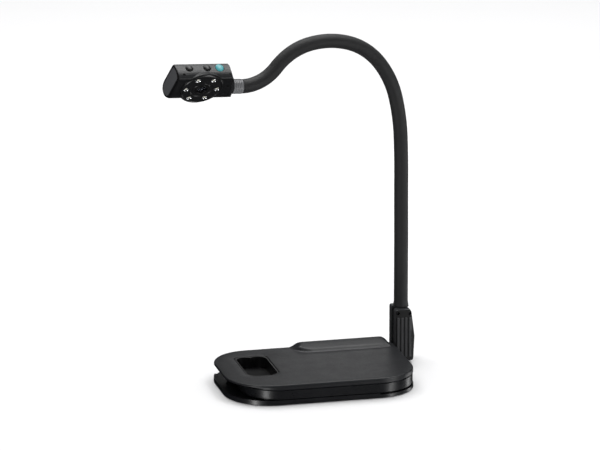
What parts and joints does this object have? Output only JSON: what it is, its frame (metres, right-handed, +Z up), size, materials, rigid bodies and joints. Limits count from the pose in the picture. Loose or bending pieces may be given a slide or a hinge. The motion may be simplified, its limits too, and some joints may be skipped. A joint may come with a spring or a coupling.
{
  "type": "book scanner",
  "caption": "Flexible-arm document camera: flat weighted base with a nest for the head, short ribbed mast, gooseneck, and a camera head with lens, ring of lights and buttons.",
  "frame": {"origin": "middle of the bounding box's underside, on the desk", "axes": "+Z up from the desk, +X to the mast's side, +Y to the rear edge of the base"},
  "size_m": [0.281, 0.1454, 0.37],
  "materials": {
    "dark_plastic": "fine moulded texture, charcoal",
    "grey_plastic": "fine moulded texture, dark grey",
    "black_plastic": "satin black",
    "teal_plastic": "satin teal",
    "steel": "plated steel",
    "black_steel": "blackened screws",
    "rubber": "matte",
    "board": "circuit board",
    "light_lens": "clear moulded lens",
    "lens_glass": "coated glass",
    "neck_sleeve": "matte ribbed sleeve"
  },
  "bodies": {
    "base": {"bottom_plate": "steel", "tray": "dark_plastic", "housing_wall": "dark_plastic", "top_cover": "dark_plastic", "head_nest": "black_plastic", "ballast": "steel", "main_board": "board", "usb_port": "steel", "lock_slot": "steel", "foot_1": "rubber", "foot_2": "rubber", "foot_3": "rubber", "foot_4": "rubber", "case_screw_1": "black_steel", "case_screw_2": "black_steel", "case_screw_3": "black_steel", "case_screw_4": "black_steel", "mast_front_cover": "grey_plastic", "mast_core": "black_plastic", "mast_rear_cover": "grey_plastic", "mast_post": "steel", "mast_screw_1": "black_steel", "mast_screw_2": "black_steel", "neck_boot": "neck_sleeve"},
    "neck_section_1": {"neck_section_1": "neck_sleeve"},
    "neck_section_2": {"neck_section_2": "neck_sleeve"},
    "neck_section_3": {"neck_section_3": "neck_sleeve"},
    "neck_section_4": {"neck_section_4": "neck_sleeve"},
    "neck_section_5": {"neck_section_5": "neck_sleeve"},
    "neck_section_6": {"neck_section_6": "neck_sleeve"},
    "neck_section_7": {"neck_section_7": "neck_sleeve"},
    "neck_section_8": {"neck_section_8": "neck_sleeve"},
    "neck_section_9": {"neck_section_9": "neck_sleeve"},
    "neck_section_10": {"neck_section_10": "neck_sleeve", "upper_ferrule": "steel"},
    "camera_head": {"swivel_collar": "grey_plastic", "head_housing": "grey_plastic", "end_cap": "grey_plastic", "bezel": "dark_plastic", "light_1": "light_lens", "light_2": "light_lens", "light_3": "light_lens", "light_4": "light_lens", "light_5": "light_lens", "light_6": "light_lens", "light_board": "board", "lens_barrel": "black_plastic", "lens_glass": "lens_glass", "sensor_board": "board", "button_board": "board", "bezel_screw_1": "black_steel", "bezel_screw_2": "black_steel", "front_screw_1": "black_steel", "front_screw_2": "black_steel"},
    "button_zoom_out": {"button_zoom_out": "black_plastic"},
    "button_zoom_in": {"button_zoom_in": "black_plastic"},
    "button_focus": {"button_focus": "teal_plastic"}
  },
  "joints": [
    {"name": "neck_arch_1", "type": "hinge", "parent": "base", "child": "neck_section_1", "pos_m": [0.12846, 0.05815, 0.0682], "axis": [0.1908, -0.9816, 0], "range_deg": [-20, 12]},
    {"name": "neck_sway_1", "type": "hinge", "parent": "neck_section_1", "child": "neck_section_2", "pos_m": [0.12846, 0.05815, 0.11326], "axis": [0.9816, 0.1908, 0], "range_deg": [-16, 16]},
    {"name": "neck_arch_2", "type": "hinge", "parent": "neck_section_2", "child": "neck_section_3", "pos_m": [0.12827, 0.05811, 0.15832], "axis": [0.1908, -0.9816, 0], "range_deg": [-20, 12]},
    {"name": "neck_sway_2", "type": "hinge", "parent": "neck_section_3", "child": "neck_section_4", "pos_m": [0.12807, 0.05808, 0.20338], "axis": [0.9816, 0.1908, 0], "range_deg": [-16, 16]},
    {"name": "neck_arch_3", "type": "hinge", "parent": "neck_section_4", "child": "neck_section_5", "pos_m": [0.12715, 0.0579, 0.24843], "axis": [0.1908, -0.9816, 0], "range_deg": [-20, 12]},
    {"name": "neck_sway_3", "type": "hinge", "parent": "neck_section_5", "child": "neck_section_6", "pos_m": [0.12097, 0.05669, 0.29297], "axis": [0.9537, 0.1854, 0.2368], "range_deg": [-16, 16]},
    {"name": "neck_arch_4", "type": "hinge", "parent": "neck_section_6", "child": "neck_section_7", "pos_m": [0.10159, 0.05293, 0.33308], "axis": [0.1908, -0.9816, 0], "range_deg": [-20, 12]},
    {"name": "neck_sway_4", "type": "hinge", "parent": "neck_section_7", "child": "neck_section_8", "pos_m": [0.0656, 0.04593, 0.35814], "axis": [0.2935, 0.0571, 0.9542], "range_deg": [-16, 16]},
    {"name": "neck_arch_5", "type": "hinge", "parent": "neck_section_8", "child": "neck_section_9", "pos_m": [0.02188, 0.03743, 0.36109], "axis": [0.1908, -0.9816, 0], "range_deg": [-20, 12]},
    {"name": "neck_sway_5", "type": "hinge", "parent": "neck_section_9", "child": "neck_section_10", "pos_m": [-0.01604, 0.03006, 0.33959], "axis": [-0.7341, -0.1427, 0.6639], "range_deg": [-16, 16]},
    {"name": "head_swivel", "type": "hinge", "parent": "neck_section_10", "child": "camera_head", "pos_m": [-0.05565, 0.02236, 0.32345], "axis": [0.9782, 0.1901, -0.0837], "range_deg": [-90, 90]},
    {"name": "button_zoom_out_press", "type": "slide", "parent": "camera_head", "child": "button_zoom_out", "axis": [-0.1887, 0.645, -0.7405], "range_m": [0, 0.0008], "stiffness_N_per_m": 400},
    {"name": "button_zoom_in_press", "type": "slide", "parent": "camera_head", "child": "button_zoom_in", "axis": [-0.1887, 0.645, -0.7405], "range_m": [0, 0.0008], "stiffness_N_per_m": 400},
    {"name": "button_focus_press", "type": "slide", "parent": "camera_head", "child": "button_focus", "axis": [-0.1887, 0.645, -0.7405], "range_m": [0, 0.0008], "stiffness_N_per_m": 400}
  ]
}
